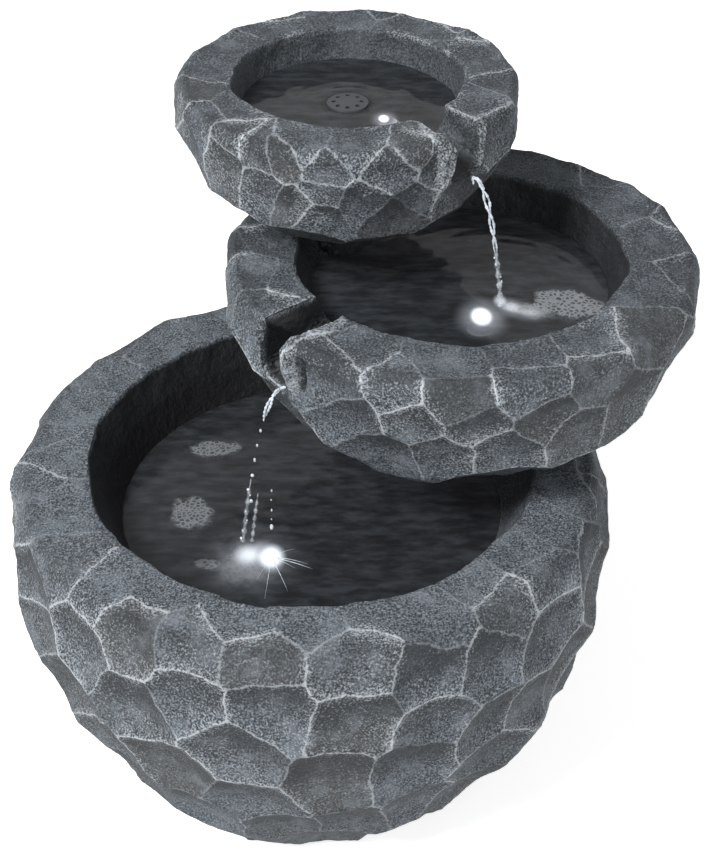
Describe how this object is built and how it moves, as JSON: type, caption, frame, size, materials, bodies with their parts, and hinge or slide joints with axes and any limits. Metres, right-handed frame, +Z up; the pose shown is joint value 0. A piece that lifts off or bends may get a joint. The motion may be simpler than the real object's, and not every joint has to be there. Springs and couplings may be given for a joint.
{
  "type": "cascading garden fountain",
  "caption": "Stepped garden fountain of stone-look bowls: a hidden pump lifts water to the top basin, and it spills through lit spouts into the wide base bowl.",
  "frame": {"origin": "under the centre of the lower bowl, on the plane that the feet stand on", "axes": "+Z up, -Y towards the open side that the spouts face, +X to the right seen from there"},
  "size_m": [0.4552, 0.419, 0.462],
  "materials": {
    "cast_stone_resin": "matte",
    "black_plastic": "satin",
    "charcoal_plastic": "satin",
    "black_rubber": "matte",
    "smoked_vinyl": "gloss",
    "black_cable_sheath": "satin",
    "stainless_steel": "satin",
    "white_ceramic": "polished",
    "blue_plastic": "satin",
    "lamp_lens": "polished",
    "white_board": "satin"
  },
  "bodies": {
    "fountain": {"base_plate": "black_plastic", "base_screws": "stainless_steel", "cable_splitter": "black_plastic", "impeller_shaft": "white_ceramic", "inlet_nut": "black_plastic", "lead_grommet": "black_rubber", "lower_bowl": "cast_stone_resin", "lower_joining_tube": "black_plastic", "lower_lamp_board": "white_board", "lower_lamp_body": "charcoal_plastic", "lower_lamp_lead": "black_cable_sheath", "lower_lamp_lens": "lamp_lens", "lower_lamp_nut": "black_plastic", "lower_lamp_seal": "black_rubber", "lower_lock_nut": "black_plastic", "middle_bowl": "cast_stone_resin", "middle_lamp_board": "white_board", "middle_lamp_body": "charcoal_plastic", "middle_lamp_lead": "black_cable_sheath", "middle_lamp_lens": "lamp_lens", "middle_lamp_nut": "black_plastic", "middle_lamp_seal": "black_rubber", "outlet_nut": "black_plastic", "outlet_seal": "black_rubber", "outlet_stem": "black_plastic", "power_inlet": "black_plastic", "pump_chamber": "black_plastic", "pump_gland": "black_plastic", "pump_housing": "black_plastic", "pump_lead": "black_cable_sheath", "riser_hose": "smoked_vinyl", "rubber_feet": "black_rubber", "shaft_bushes": "black_rubber", "suction_cups": "black_rubber", "supply_lead": "black_cable_sheath", "upper_bowl": "cast_stone_resin", "upper_joining_tube": "black_plastic", "upper_lamp_board": "white_board", "upper_lamp_body": "charcoal_plastic", "upper_lamp_lead": "black_cable_sheath", "upper_lamp_lens": "lamp_lens", "upper_lamp_nut": "black_plastic", "upper_lamp_seal": "black_rubber", "upper_lock_nut": "black_plastic"},
    "pump_cover": {"pump_cover": "black_plastic"},
    "impeller": {"impeller": "blue_plastic"},
    "intake_dial": {"intake_dial": "black_plastic"},
    "outlet_diffuser": {"outlet_diffuser": "charcoal_plastic"}
  },
  "joints": [
    {"name": "impeller_spin", "type": "hinge", "parent": "fountain", "child": "impeller", "pos_m": [0.10404, 0.09368, 0.099], "axis": [0.7431, 0.6691, 0], "continuous": true},
    {"name": "intake_dial_turn", "type": "hinge", "parent": "fountain", "child": "intake_dial", "pos_m": [0.10404, 0.09368, 0.099], "axis": [0.7431, 0.6691, 0], "range_deg": [0, 60]},
    {"name": "pump_cover_pull", "type": "slide", "parent": "fountain", "child": "pump_cover", "axis": [-0.7431, -0.6691, 0], "range_m": [0, 0.06]},
    {"name": "outlet_diffuser_lift", "type": "slide", "parent": "fountain", "child": "outlet_diffuser", "axis": [0, 0, 1], "range_m": [0, 0.04]}
  ]
}
